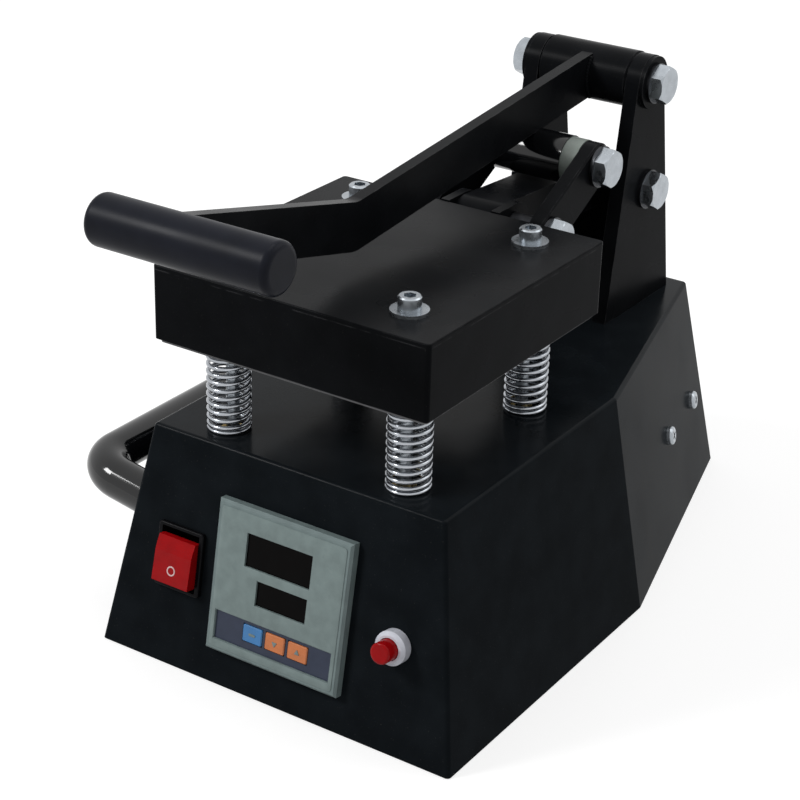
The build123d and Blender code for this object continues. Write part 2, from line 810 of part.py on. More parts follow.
# Relay and terminal block, and the grommet in the housing top
relay_place = Pos(relay_x, at(relay_d), bottom_sheet)
relay = Pos(0, 0, relay_height / 2) * Box(relay_width, relay_length, relay_height)
relay = fillet(relay.edges().filter_by(Axis.Z), relay_corner)
for sx in (-1, 1):
    for sy in (-1, 1):
        x = sx * (relay_width / 2 - relay_screw_in)
        y = sy * (relay_length / 2 - relay_screw_end)
        relay = relay - rod_z(x, y, relay_height - relay_screw_sink, relay_height + 1, relay_screw_radius)
save("power_relay", relay_place * relay)
terminal_width = terminal_ways * terminal_pitch
terminal_place = Pos(terminal_x, at(terminal_d), bottom_sheet)
terminal = Pos(0, 0, terminal_height / 2) * Box(terminal_width, terminal_length, terminal_height)
for i in range(terminal_ways):
    x = (i - (terminal_ways - 1) / 2) * terminal_pitch
    for sy in (-1, 1):
        y = sy * terminal_rows / 2
        terminal = terminal - rod_z(x, y, terminal_height - terminal_sink, terminal_height + 1, terminal_hole)
save("terminal_block", terminal_place * terminal)
grommet = rod_z(grommet_x, at(grommet_d), top_in - grommet_lip, base_height + grommet_lip,
                grommet_hole + grommet_wall)
grommet = fillet(grommet.edges(), grommet_lip / 2)
groove = rod_z(grommet_x, at(grommet_d), top_in, base_height, 2 * grommet_hole)
groove = groove - rod_z(grommet_x, at(grommet_d), top_in, base_height, grommet_hole)
grommet = grommet - groove
save("lead_grommet", grommet)

# Carry handle of bent bar with a threaded stud at each end
wall_plane = side_wall_at(handle_front, handle_z)
out = wall_plane.z_dir
start = wall_plane.origin
corner = start + out * handle_reach
along = Vector(0, handle_span, 0)
route = FilletPolyline(start, corner, corner + along, start + along, radius=handle_bend)
handle_section = Plane(origin=start, z_dir=out) * Circle(handle_radius)
handle = sweep(handle_section, path=route)
for shift in (0, handle_span):
    plane = side_wall_at(handle_front + shift, handle_z)
    handle = handle + plane * (Pos(0, 0, -handle_stud_length / 2) * Cylinder(handle_stud,
                                                                             handle_stud_length))
save("carry_handle", handle)
handle_nuts = []
for shift in (0, handle_span):
    plane = side_wall_at(handle_front + shift, handle_z)
    washer = Pos(0, 0, -sheet - handle_washer / 2) * Cylinder(handle_washer_radius, handle_washer)
    nut = hex_prism(handle_nut_across, handle_nut_height)
    nut = Pos(0, 0, -sheet - handle_washer - handle_nut_height) * nut
    nut = nut + washer - Cylinder(handle_stud, 4 * handle_stud_length)
    handle_nuts.append(plane * nut)
save("handle_nuts", group("handle_nuts", handle_nuts))


# Springs: one open coil round each guide screw, with a straight end square to each seat
def spring_path(x, y, z0, z1):
    wire = 2 * wire_radius
    rise = 0.0
    for _ in range(20):
        climb = math.atan2(rise, 2 * math.pi * spring_mean_radius)
        rise = (z1 - z0 - 2 * wire - 2 * spring_bend * math.cos(climb)) / spring_turns
    slip = spring_bend * (1 - math.sin(climb))
    start_z = z0 + wire + spring_bend * math.cos(climb)

    def spot(angle):
        return Vector(x + spring_mean_radius * math.cos(angle), y + spring_mean_radius * math.sin(angle),
                      start_z + rise * angle / (2 * math.pi))

    def heading(angle):
        return Vector(-math.sin(angle) * math.cos(climb), math.cos(angle) * math.cos(climb),
                      math.sin(climb))

    half = (math.pi / 2 - climb) / 2
    low = spot(0) - Vector(0, slip, spring_bend * math.cos(climb))
    low_mid = low + Vector(0, spring_bend * (1 - math.cos(half)), spring_bend * math.sin(half))
    edges = [Edge.make_line(low - Vector(0, 0, wire), low)]
    edges.append(Edge.make_three_point_arc(low, low_mid, spot(0)))
    steps = round(spring_turns * 4)
    for i in range(steps):
        a = i * math.pi / 2
        b = a + math.pi / 2
        p, q, t, u = spot(a), spot(b), heading(a), heading(b)
        v = q - p
        s = t + u
        c = 2 * (t.dot(u) - 1)
        d = (v.dot(s) * 2 - math.sqrt((v.dot(s) * 2) ** 2 - 4 * c * v.dot(v))) / (2 * c)
        m0 = p + t * abs(d)
        m1 = q - u * abs(d)
        joint = (m0 + m1) / 2
        edges.append(Edge.make_tangent_arc(p, t, joint))
        edges.append(Edge.make_tangent_arc(joint, (m1 - m0).normalized(), q))
    end = spring_turns * 2 * math.pi
    flat = Vector(-math.sin(end), math.cos(end), 0)
    high = spot(end) + flat * slip + Vector(0, 0, spring_bend * math.cos(climb))
    high_mid = high - flat * spring_bend * (1 - math.cos(half)) - Vector(0, 0, spring_bend * math.sin(half))
    edges.append(Edge.make_three_point_arc(spot(end), high_mid, high))
    edges.append(Edge.make_line(high, high + Vector(0, 0, wire)))
    return edges, rise


def self_gap(edges):
    points = []
    run = 0.0
    for e in edges:
        for k in range(4):
            points.append((run + e.length * k / 4, e @ (k / 4)))
        run += e.length
    apart = math.pi * 2 * wire_radius
    least = 1e9
    for i, (si, pi) in enumerate(points):
        for sj, pj in points[i + 1:]:
            if sj - si > 2 * apart:
                least = min(least, (pi - pj).length)
    return least - 2 * wire_radius


spring_low = base_height
spring_high = platen_bottom - seat_thickness
springs = []
for x, y in guides:
    edges, rise = spring_path(x + math.copysign(spring_shift, x), y, spring_low, spring_high)
    path = Wire(edges)
    section = Plane(origin=path @ 0, z_dir=(0, 0, 1)) * Circle(wire_radius)
    springs.append(sweep(section, path=path))
print("spring rise per turn", round(rise, 2), "least self gap", round(self_gap(edges), 2))
print("spring volume", round(springs[0].volume, 1), "section times length",
      round(math.pi * wire_radius ** 2 * path.length, 1))
save("springs", group("springs", springs))

# Lever: bar, hinge tube, cross tube, grip
grip_y = at(grip_d)
half = bar_height / 2
bar_end_z = hinge_z + bar_above_hinge
slope = math.atan2(bar_end_z - bar_bend_z, hinge_d - bar_bend_d)
rise = math.atan2(grip_z - bar_bend_z, bar_bend_d - grip_d)
mid = (slope - rise) / 2
bisect = half / math.cos((slope + rise) / 2)
bar_points = [
    (grip_y - half * math.sin(rise), grip_z - half * math.cos(rise)),
    (at(bar_bend_d) + bisect * math.sin(mid), bar_bend_z - bisect * math.cos(mid)),
    (at(hinge_d) + half * math.sin(slope), bar_end_z - half * math.cos(slope)),
    (at(hinge_d) - half * math.sin(slope), bar_end_z + half * math.cos(slope)),
    (at(bar_bend_d) - bisect * math.sin(mid), bar_bend_z + bisect * math.cos(mid)),
    (grip_y + half * math.sin(rise), grip_z + half * math.cos(rise)),
]
bar_half = bar_thickness / 2
bar = side_plate(bar_points, -bar_half, bar_half)
elbow = bar.edges().filter_by(Axis.X).filter_by(lambda e: abs(e.center().Y - at(bar_bend_d)) < bar_height / 2)
bar = fillet(elbow, bar_elbow)
bar = bar - rod_x(-across, across, at(hinge_d), hinge_z, hinge_tube_radius)
bar = bar - rod_x(-across, across, at(mid_d), mid_z, cross_tube_radius)
bar = bar - rod_x(-across, across, grip_y, grip_z, grip_radius)
bar = max(bar.solids(), key=lambda s: s.volume)
save("lever_bar", Part() + bar)

tube_half = upright_inner - side_gap
tube = ring_x(-tube_half, tube_half, at(hinge_d), hinge_z, hinge_tube_radius, bolt_radius + turning_fit)
rims = tube.edges().filter_by(GeomType.CIRCLE).filter_by(lambda e: e.radius > hinge_tube_radius - tube_edge)
tube = chamfer(rims, tube_edge)
save("hinge_tube", tube)
cross_tube = ring_x(-cross_tube_half, cross_tube_half, at(mid_d), mid_z, cross_tube_radius, bolt_radius)
save("cross_tube", cross_tube)
grip = rod_x(grip_x - grip_length / 2, grip_x + grip_length / 2, grip_y, grip_z, grip_radius)
grip = fillet(grip.edges().filter_by(GeomType.CIRCLE), grip_rounding)
save("grip", grip)

# Stack on the middle pivot, from the left: thin nut, link, tube, pale bush, link, washer, head
bush_end = cross_tube_half + mid_bush_length
link_left_in = cross_tube_half + side_gap
link_right_in = bush_end + side_gap
left_face = link_left_in + link_thickness + side_gap
right_face = link_right_in + link_thickness + side_gap + washer_thickness


def washer_at(y, z):
    return ring_x(right_face - washer_thickness, right_face, y, z, washer_radius, bolt_radius)


save("mid_bolt", bolt_x(-left_face, right_face, at(mid_d), mid_z, thin_nut))
save("mid_nut", nut_x(-left_face, at(mid_d), mid_z, thin_nut))
save("mid_bush", ring_x(cross_tube_half, bush_end, at(mid_d), mid_z, bush_ring_radius, bolt_radius))
save("mid_washer", washer_at(at(mid_d), mid_z))

# Links: flat bars with round ends, free at the lower eye
dy = at(low_d) - at(mid_d)
dz = low_z - mid_z
link_length = math.hypot(dy, dz)
link_turn = math.degrees(math.atan2(dz, dy))
for side, name in ((-1, "link_left"), (1, "link_right")):
    x0 = link_right_in if side > 0 else -link_left_in - link_thickness
    bar2d = Pos(link_length / 2, 0) * SlotCenterToCenter(link_length, 2 * link_radius)
    plane = Plane(origin=(x0, at(mid_d), mid_z), x_dir=(0, 1, 0), z_dir=(1, 0, 0))
    link = extrude(plane * (Rot(0, 0, link_turn) * bar2d), link_thickness)
    link = chamfer(link.edges().group_by(Axis.X)[-1 if side > 0 else 0], tube_edge)
    link = link - rod_x(-across, across, at(mid_d), mid_z, bolt_radius + turning_fit)
    link = link - rod_x(-across, across, at(low_d), low_z, bolt_radius + link_loose)
    save(name, link)

# Swing arm: a folded channel between two cross tubes
ay = at(arm_d)
by = at(low_d)
arm_turn = math.atan2(arm_z - low_z, ay - by)
nx = -math.sin(arm_turn) * arm_height / 2
nz = math.cos(arm_turn) * arm_height / 2
arm_half = arm_width / 2
arm_points = [(by + nx, low_z + nz), (ay + nx, arm_z + nz), (ay - nx, arm_z - nz), (by - nx, low_z - nz)]
arm = side_plate(arm_points, -arm_half, arm_half)
inside = 1 - 2 * arm_wall / arm_height
hollow_points = [
    (by + nx * inside, low_z + nz * inside),
    (ay + nx * inside, arm_z + nz * inside),
    (ay - nx * 2, arm_z - nz * 2),
    (by - nx * 2, low_z - nz * 2),
]
arm = arm - side_plate(hollow_points, -arm_half + arm_wall, arm_half - arm_wall)
low_half = lug_inner - side_gap
arm = arm + rod_x(-low_half, low_half, by, low_z, arm_low_radius)
arm = arm + rod_x(-tube_half, tube_half, ay, arm_z, arm_high_radius)
arm = arm - rod_x(-across, across, by, low_z, bolt_radius)
arm = arm - rod_x(-across, across, ay, arm_z, bolt_radius + turning_fit)
save("swing_arm", arm)
save("low_bolt", bolt_x(-left_face, right_face, by, low_z, thin_nut))
save("low_nut", nut_x(-left_face, by, low_z, thin_nut))
lug_outer = lug_inner + lug_thickness
low_rings = [washer_at(by, low_z)]
for inner_end, outer_end in ((-lug_outer - side_gap, -cross_tube_half), (lug_outer + side_gap, bush_end)):
    low_rings.append(ring_x(inner_end, outer_end, by, low_z, bolt_radius + low_ring_wall, bolt_radius))
save("low_rings", group("low_rings", low_rings))

# Platen: cast heater plate with bosses and a rear rib, element, insulation, shroud, lid
platen_x = platen_width / 2
platen_y0 = at(platen_front)
platen_y1 = platen_y0 + platen_length
platen_top = platen_bottom + platen_thickness
lid_low = platen_top - lid_thickness
inset = shroud_sheet + shroud_gap
heater_top = platen_bottom + heater_thickness
heater = block(-platen_x + inset, platen_x - inset, platen_y0 + inset, platen_y1 - inset, platen_bottom,
               heater_top)
heater = fillet(heater.edges().filter_by(Axis.Z), shroud_corner)
rib_half = lug_inner
rib_y0 = platen_y1 - inset - rib_length
heater = heater + block(-rib_half, rib_half, rib_y0, platen_y1 - inset, heater_top - 1, lid_low)
for x, y in guides:
    heater = heater + rod_z(x, y, heater_top - 1, lid_low, boss_r)
    heater = heater - rod_z(x, y, platen_bottom - 1, lid_low + 1, screw_radius + loose_fit)
element_front = platen_y0 + element_from_front
element_middle = element_front + element_turn
element_rear = rib_y0 - element_from_rib
groove_floor = platen_bottom + element_floor
element_z = groove_floor + element_radius
element_points = [
    (-element_half / 2, element_rear, element_z),
    (-element_half / 2, element_middle, element_z),
    (-element_out, element_middle, element_z),
    (-element_out + element_slant, element_front, element_z),
    (element_out - element_slant, element_front, element_z),
    (element_out, element_middle, element_z),
    (element_half / 2, element_middle, element_z),
    (element_half / 2, element_rear, element_z),
]
element_route = FilletPolyline(*[Vector(*p) for p in element_points], radius=element_bend)
element_start = Plane(origin=element_points[0], z_dir=(0, -1, 0))
element = sweep(element_start * Circle(element_radius), path=element_route)
groove_width = 2 * (element_radius + element_gap)
groove_height = heater_top - groove_floor + 1
groove_z = groove_floor + groove_height / 2
groove_plane = Plane(origin=(-element_half / 2, element_rear, groove_z), x_dir=(1, 0, 0), z_dir=(0, -1, 0))
groove_route = Pos(0, 0, groove_z - element_z) * element_route
groove = sweep(groove_plane * Rectangle(groove_width, groove_height), path=groove_route)
heater = heater - groove
lug_y0 = rib_y0 + lug_setback
lug_low = low_z - lug_radius
lug_high = low_z + lug_radius
lug_inside_top = lid_low - lug_under_lid
rib_screw_y = [rib_y0 + rib_screw_front, rib_y0 + rib_screw_front + rib_screw_pitch]
rib_screw_z = heater_top + rib_screw_rise
for y in rib_screw_y:
    heater = heater - rod_x(-rib_half - 1, rib_half + 1, y, rib_screw_z, rib_screw_radius)
probe_z = platen_bottom + heater_thickness / 2
probe_hole = Rot(90, 0, 0) * Cylinder(probe_radius, 2 * probe_length)
heater = heater - Pos(probe_x, platen_y1, probe_z) * probe_hole
save("heater_plate", heater)
save("heating_element", element)

felt_in = inset + felt_gap
felt = block(-platen_x + felt_in, platen_x - felt_in, platen_y0 + felt_in, platen_y1 - felt_in, heater_top,
             heater_top + insulation_thickness)
lug_clear = lug_inner + lug_thickness + felt_gap
felt = felt - block(-lug_clear, lug_clear, rib_y0 - felt_gap, platen_y1, heater_top - 1, lid_low)
for x, y in guides:
    felt = felt - rod_z(x, y, heater_top - 1, lid_low, boss_r + felt_gap / 2)
save("insulation_felt", felt)

shroud_low = platen_bottom + lip
shroud = block(-platen_x, platen_x, platen_y0, platen_y1, shroud_low, lid_low)
shroud = fillet(shroud.edges().filter_by(Axis.Z), shroud_corner)
shroud = shroud - block(-platen_x + shroud_sheet, platen_x - shroud_sheet, platen_y0 + shroud_sheet,
                        platen_y1 - shroud_sheet, shroud_low - 1, lid_low - shroud_sheet)
flange_in = shroud_sheet + shroud_flange
shroud = shroud - block(-platen_x + flange_in, platen_x - flange_in, platen_y0 + flange_in,
                        platen_y1 - flange_in, shroud_low - 1, lid_low + 1)
rib_room = block(-rib_half, rib_half, rib_y0, platen_y1 - inset, lid_low - 2 * shroud_sheet, lid_low + 1)
shroud = shroud - rib_room
for sx in (-1, 1):
    x0 = min(sx * (lug_inner - trim_gap), sx * (lug_outer + trim_gap))
    x1 = max(sx * (lug_inner - trim_gap), sx * (lug_outer + trim_gap))
    shroud = shroud - block(x0, x1, platen_y1 - flange_in - 1, platen_y1 + 1, lug_low - trim_gap,
                            lug_inside_top + trim_gap)
shroud = shroud - Pos(probe_x, platen_y1, probe_z) * probe_hole
save("platen_shroud", shroud)

lid = block(-platen_x, platen_x, platen_y0, platen_y1, lid_low, platen_top)
lid = fillet(lid.edges().filter_by(Axis.Z), shroud_corner)
lid = fillet(lid.edges().group_by(Axis.Z)[-1], lid_edge)
for x, y in guides:
    lid = lid - rod_z(x, y, lid_low - 1, platen_top + 1, screw_radius + loose_fit)
save("platen_lid", lid)

lugs = []
for sx in (-1, 1):
    x0 = min(sx * lug_inner, sx * lug_outer)
    x1 = max(sx * lug_inner, sx * lug_outer)
    tail_y = by + lug_reach - lug_radius
    lug = block(x0, x1, lug_y0, platen_y1 + trim_gap, lug_low, lug_inside_top)
    lug = lug + block(x0, x1, platen_y1 + trim_gap, tail_y, lug_low, lug_high)
    lug = lug + rod_x(x0, x1, tail_y, low_z, lug_radius)
    lug = lug - slot_x(x0 - 1, x1 + 1, by - slot_play, by + slot_travel + slot_play, low_z,
                       bolt_radius + slot_play)
    for y in rib_screw_y:
        lug = lug - rod_x(x0 - 1, x1 + 1, y, rib_screw_z, rib_screw_radius)
    lugs.append(lug)
save("platen_lugs", group("platen_lugs", lugs))
lug_screws = []
for y in rib_screw_y:
    for sx in (-1, 1):
        screw = rod_x(sx * (lug_inner - rib_screw_grip), sx * lug_outer, y, rib_screw_z, rib_screw_radius)
        lug_screws.append(screw + hex_x(sx * lug_outer, sx, y, rib_screw_z, rib_screw_across, rib_screw_head))
save("lug_screws", group("lug_screws", lug_screws))

probe = Pos(probe_x, platen_y1 - probe_length / 2, probe_z) * Rot(90, 0, 0)
probe = probe * Cylinder(probe_radius, probe_length)
probe = probe + Pos(probe_x, platen_y1, probe_z) * Rot(-90, 0, 0) * hex_prism(probe_across, probe_head)
save("heat_probe", probe)

guide_screws = []
guide_washers = []
seats = []
for x, y in guides:
    head_low = platen_top + guide_washer_thickness
    head = rod_z(x, y, head_low, head_low + socket_head_height, socket_head_radius)
    head = chamfer(head.edges().group_by(Axis.Z)[-1], head_edge)
    socket = extrude(RegularPolygon(socket_across / 2, 6, major_radius=False), socket_depth)
    head = head - Pos(x, y, head_low + socket_head_height - socket_depth) * socket
    shank = rod_z(x, y, screw_end, head_low, screw_radius)
    shank = chamfer(shank.edges().group_by(Axis.Z)[0], screw_point)
    guide_screws.append(head + shank)
    washer = rod_z(x, y, platen_top, head_low, guide_washer_radius)
    guide_washers.append(washer - rod_z(x, y, platen_top - 1, head_low + 1, screw_radius + loose_fit))
    seat = rod_z(x, y, spring_high, platen_bottom, seat_radius)
    seat = chamfer(seat.edges().group_by(Axis.Z)[0], head_edge)
    seats.append(seat - rod_z(x, y, spring_high - 1, platen_bottom + 1, screw_radius))
save("guide_screws", group("guide_screws", guide_screws))
save("guide_washers", group("guide_washers", guide_washers))
save("spring_seats", group("spring_seats", seats))
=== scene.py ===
# %% [markdown]
# A flat heat press in Blender: a black bench press with a temperature controller, a sprung platen and a
# hand lever. The mechanical parts come ready made in the frame, at their real place and size, so this
# lesson adds what the frame can't hold: springs with closed ends, a printed film, raised marks, weld beads
# and every finish.

# %% Load the frame
import json
import math
import bpy
from mathutils import Matrix, Quaternion, Vector


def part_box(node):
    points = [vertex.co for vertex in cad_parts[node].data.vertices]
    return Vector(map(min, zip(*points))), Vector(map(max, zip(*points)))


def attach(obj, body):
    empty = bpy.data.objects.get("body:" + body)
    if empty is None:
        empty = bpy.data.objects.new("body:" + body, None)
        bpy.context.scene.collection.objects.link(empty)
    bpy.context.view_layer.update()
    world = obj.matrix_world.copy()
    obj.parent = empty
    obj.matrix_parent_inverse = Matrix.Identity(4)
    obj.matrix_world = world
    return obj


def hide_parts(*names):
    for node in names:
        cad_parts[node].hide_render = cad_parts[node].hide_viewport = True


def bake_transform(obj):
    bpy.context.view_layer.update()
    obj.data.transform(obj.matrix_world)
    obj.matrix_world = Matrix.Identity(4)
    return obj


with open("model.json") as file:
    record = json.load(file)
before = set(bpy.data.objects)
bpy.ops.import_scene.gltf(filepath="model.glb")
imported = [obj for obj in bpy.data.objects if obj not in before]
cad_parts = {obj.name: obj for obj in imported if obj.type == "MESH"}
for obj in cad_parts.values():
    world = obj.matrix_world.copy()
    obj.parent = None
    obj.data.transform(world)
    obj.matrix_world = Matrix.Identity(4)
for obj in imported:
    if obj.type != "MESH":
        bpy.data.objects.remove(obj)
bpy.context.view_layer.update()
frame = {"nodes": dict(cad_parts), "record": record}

nodes = frame["nodes"]
mm = 0.001

# %% [markdown]
# The camera stands to the right and above, and looks down the length of the press. Its place, its turn and
# its long lens were worked out from the straight edges of the housing, so that the render lies over the
# photograph. A small roll about the view axis is left in, because the picture was taken by hand.

# %% Camera
camera_place = Vector((0.4749, -0.79825, 0.5297))
camera_yaw = 0.57689
camera_pitch = 0.44721
camera_roll = 0.02839
camera_lens = 94.2

camera_data = bpy.data.cameras.new("camera")
camera_data.lens = camera_lens
camera_data.sensor_width = 36.0
camera = bpy.data.objects.new("camera", camera_data)
bpy.context.scene.collection.objects.link(camera)
look = Vector((-math.sin(camera_yaw) * math.cos(camera_pitch),
               math.cos(camera_yaw) * math.cos(camera_pitch),
               -math.sin(camera_pitch)))
camera.rotation_mode = "QUATERNION"
camera.rotation_quaternion = look.to_track_quat("-Z", "Y") @ Quaternion((0, 0, 1), camera_roll)
camera.location = camera_place
bpy.context.scene.camera = camera
print("camera looks along", [round(v, 3) for v in look])

# %% [markdown]
# Two helpers keep the modelling steps short. An operator acts on whatever is selected, so `only` first
# selects one piece and nothing else. `settle` writes a piece's place and turn into its mesh, which is how
# every finished piece is left: its object at the origin, unturned and unscaled.

# %% Selection helpers
def only(piece):
    bpy.ops.object.select_all(action="DESELECT")
    piece.select_set(True)
    bpy.context.view_layer.objects.active = piece
    return piece


def settle(piece):
    only(piece)
    bpy.ops.object.transform_apply(location=True, rotation=True, scale=True)
    return piece


def put(piece, matrix):
    piece.matrix_world = matrix
    return settle(piece)


def begin_edit(piece, mode="VERT", select="SELECT"):
    only(piece)
    bpy.ops.object.mode_set(mode="EDIT")
    bpy.ops.mesh.select_mode(type=mode)
    bpy.ops.mesh.select_all(action=select)


def end_edit():
    bpy.ops.object.mode_set(mode="OBJECT")


def pick(piece, kind, test):
    # choose vertices, edges or faces by a test on them, with nothing else left selected
    end_edit()
    mesh = piece.data
    for group in (mesh.vertices, mesh.edges, mesh.polygons):
        for item in group:
            item.select = False
    count = 0
    for item in getattr(mesh, kind):
        item.select = test(item)
        count += item.select
    bpy.ops.object.mode_set(mode="EDIT")
    return count


def modify(piece, kind, **settings):
    only(piece)
    modifier = piece.modifiers.new(kind.lower(), kind)
    for key, value in settings.items():
        setattr(modifier, key, value)
    bpy.ops.object.modifier_apply(modifier=modifier.name)
    return piece


def smooth(piece, degrees=35):
    only(piece)
    bpy.ops.object.shade_smooth_by_angle(angle=math.radians(degrees))
    return piece


def copy_of(piece):
    only(piece)
    bpy.ops.object.duplicate(linked=False)
    return bpy.context.active_object


def merged(pieces):
    bpy.ops.object.select_all(action="DESELECT")
    for piece in pieces:
        piece.select_set(True)
    bpy.context.view_layer.objects.active = pieces[0]
    bpy.ops.object.join()
    return bpy.context.active_object


def face_outwards(piece, gap=0.00001):
    begin_edit(piece)
    bpy.ops.mesh.remove_doubles(threshold=gap)
    bpy.ops.mesh.normals_make_consistent(inside=False)
    end_edit()
    return piece


# %% [markdown]
# A finish starts as one Principled shader with its plain values on its own sockets. What varies over the
# surface is added from noise on Object coordinates, so it stays put when the part moves: small changes of
# colour, of roughness, and a fine bump. Scales are given as the real size of one speck, in millimetres.

# %% Finish helpers
def finish(name, colour, roughness, metallic=0.0, specular=0.5):
    material = bpy.data.materials.new(name)
    material.use_nodes = True
    shader = material.node_tree.nodes["Principled BSDF"]
    shader.inputs["Base Color"].default_value = (*colour, 1.0)
    shader.inputs["Roughness"].default_value = roughness
    shader.inputs["Metallic"].default_value = metallic
    shader.inputs["Specular IOR Level"].default_value = specular
    return material


def shader_of(material):
    return material.node_tree.nodes["Principled BSDF"]


def speckle(material, size_mm, detail=2.0, stretch=(1, 1, 1)):
    tree = material.node_tree
    place = tree.nodes.new("ShaderNodeTexCoord")
    mapping = tree.nodes.new("ShaderNodeMapping")
    mapping.inputs["Scale"].default_value = stretch
    noise = tree.nodes.new("ShaderNodeTexNoise")
    noise.inputs["Scale"].default_value = 1.0 / (size_mm * mm)
    noise.inputs["Detail"].default_value = detail
    tree.links.new(place.outputs["Object"], mapping.inputs["Vector"])
    tree.links.new(mapping.outputs["Vector"], noise.inputs["Vector"])
    return noise.outputs["Fac"]


def vary_colour(material, mask, low, high, start=0.35, stop=0.65):
    tree = material.node_tree
    ramp = tree.nodes.new("ShaderNodeValToRGB")
    ramp.color_ramp.elements[0].position = start
    ramp.color_ramp.elements[0].color = (*low, 1.0)
    ramp.color_ramp.elements[1].position = stop
    ramp.color_ramp.elements[1].color = (*high, 1.0)
    tree.links.new(mask, ramp.inputs["Fac"])
    tree.links.new(ramp.outputs["Color"], shader_of(material).inputs["Base Color"])


def ranged(material, value, start, stop, low=0.0, high=1.0):
    # what runs from start to stop comes out running from low to high
    tree = material.node_tree
    spread = tree.nodes.new("ShaderNodeMapRange")
    spread.inputs["From Min"].default_value = start
    spread.inputs["From Max"].default_value = stop
    spread.inputs["To Min"].default_value = low
    spread.inputs["To Max"].default_value = high
    tree.links.new(value, spread.inputs["Value"])
    return spread.outputs["Result"]


def vary_roughness(material, mask, low, high, start=0.35, stop=0.65):
    roughness = ranged(material, mask, start, stop, low, high)
    material.node_tree.links.new(roughness, shader_of(material).inputs["Roughness"])


def emboss(material, mask, depth_mm, strength=1.0):
    tree = material.node_tree
    bump = tree.nodes.new("ShaderNodeBump")
    bump.inputs["Distance"].default_value = depth_mm * mm
    bump.inputs["Strength"].default_value = strength
    socket = shader_of(material).inputs["Normal"]
    if socket.is_linked:
        tree.links.new(socket.links[0].from_socket, bump.inputs["Normal"])
    tree.links.new(mask, bump.inputs["Height"])
    tree.links.new(bump.outputs["Normal"], socket)


def tinted(colour, factor):
    return tuple(min(1.0, channel * factor) for channel in colour)


# %% [markdown]
# Paint that is used gets dusty and wears pale along its edges, and its walls carry painted shade. Each of
# these is a mask. Dust is the peaks of a fine noise. Wear is where a rounded normal differs from the true
# one, which is only near an edge, broken up by a coarser noise. The painted shade is a weaker reflection on
# the walls than on the faces that look up, so the walls render darker.

# %% Wear and painted shade helpers
def mix_in(material, mask, colour):
    # lay a second colour over whatever already feeds Base Color, where the mask is high
    tree = material.node_tree
    socket = shader_of(material).inputs["Base Color"]
    blend = tree.nodes.new("ShaderNodeMix")
    blend.data_type = "RGBA"
    tree.links.new(mask, blend.inputs[0])
    tree.links.new(socket.links[0].from_socket, blend.inputs[6])
    blend.inputs[7].default_value = (*colour, 1.0)
    tree.links.new(blend.outputs[2], socket)


def worn_edges(material, width_mm, colour, amount):
    tree = material.node_tree
    rounded = tree.nodes.new("ShaderNodeBevel")
    rounded.samples = 4
    rounded.inputs["Radius"].default_value = width_mm * mm
    true = tree.nodes.new("ShaderNodeNewGeometry")
    dot = tree.nodes.new("ShaderNodeVectorMath")
    dot.operation = "DOT_PRODUCT"
    tree.links.new(rounded.outputs["Normal"], dot.inputs[0])
    tree.links.new(true.outputs["Normal"], dot.inputs[1])
    edge = ranged(material, dot.outputs["Value"], 0.985, 0.90)
    patches = ranged(material, speckle(material, 7, 4), 0.42, 0.62, high=amount)
    both = tree.nodes.new("ShaderNodeMath")
    both.operation = "MULTIPLY"
    tree.links.new(edge, both.inputs[0])
    tree.links.new(patches, both.inputs[1])
    mix_in(material, both.outputs["Value"], colour)


def painted_wall_shade(material, wall, top):
    # painted shade: walls get only a share of the reflection that upward faces get, so they render darker
    tree = material.node_tree
    place = tree.nodes.new("ShaderNodeTexCoord")
    split = tree.nodes.new("ShaderNodeSeparateXYZ")
    tree.links.new(place.outputs["Normal"], split.inputs["Vector"])
    shaded_reflect = ranged(material, split.outputs["Z"], 0.3, 0.95, wall, top)
    tree.links.new(shaded_reflect, shader_of(material).inputs["Specular IOR Level"])


# %% [markdown]
# Nearly everything on the press is black, but not the same black. The housing is powder coated: a satin film
# with a faint orange peel. The platen, the welded frame and the lever are painted, a little rougher. The
# carry handle and the cross tube are glossy enamel, and the grip is a dull rubber sleeve.

# %% Black finishes
dust_colour = (0.16, 0.15, 0.14)
bare_colour = (0.09, 0.09, 0.095)


def powder_coat(name, colour, roughness, specular, peel_mm, wear=0.0, dust=0.0, wall_shade_share=1.0):
    coat = finish(name, colour, roughness, specular=specular)
    # painted shade: the walls reflect less than the faces that look up
    if wall_shade_share < 1.0:
        painted_wall_shade(coat, specular * wall_shade_share, specular)
    vary_colour(coat, speckle(coat, 18, 4), tinted(colour, 0.85), tinted(colour, 1.20))
    vary_roughness(coat, speckle(coat, 40, 3), roughness - 0.04, roughness + 0.05)
    emboss(coat, speckle(coat, 1.1, 2), peel_mm, 0.35)
    emboss(coat, speckle(coat, 0.35, 1), peel_mm / 3, 0.3)
    if dust:
        mix_in(coat, ranged(coat, speckle(coat, 0.8, 1), 0.70, 0.78, high=dust), dust_colour)
    if wear:
        worn_edges(coat, 0.7, bare_colour, wear)
    return coat


housing_colour = (0.0085, 0.0108, 0.0130)
frame_colour = (0.0055, 0.0060, 0.0070)
enamel_colour = (0.0030, 0.0033, 0.0040)
grip_colour = (0.0100, 0.0112, 0.0165)
black_coat = powder_coat("housing_black", housing_colour, 0.20, 0.045, 0.02, wear=0.4, dust=0.10,
                         wall_shade_share=0.13)
frame_paint = powder_coat("frame_black", frame_colour, 0.28, 0.035, 0.02, wear=0.5, dust=0.08,
                          wall_shade_share=0.4)
enamel = powder_coat("handle_black", enamel_colour, 0.10, 0.50, 0.01)
sleeve = powder_coat("grip_black", grip_colour, 0.36, 0.07, 0.04)
rubber = powder_coat("rubber_black", (0.012, 0.012, 0.012), 0.70, 0.25, 0.05)
moulding = powder_coat("inner_black", (0.020, 0.020, 0.020), 0.50, 0.35, 0.03)
gloss_moulding = powder_coat("switch_black", (0.005, 0.005, 0.006), 0.30, 0.05, 0.01)
print("black finishes made")

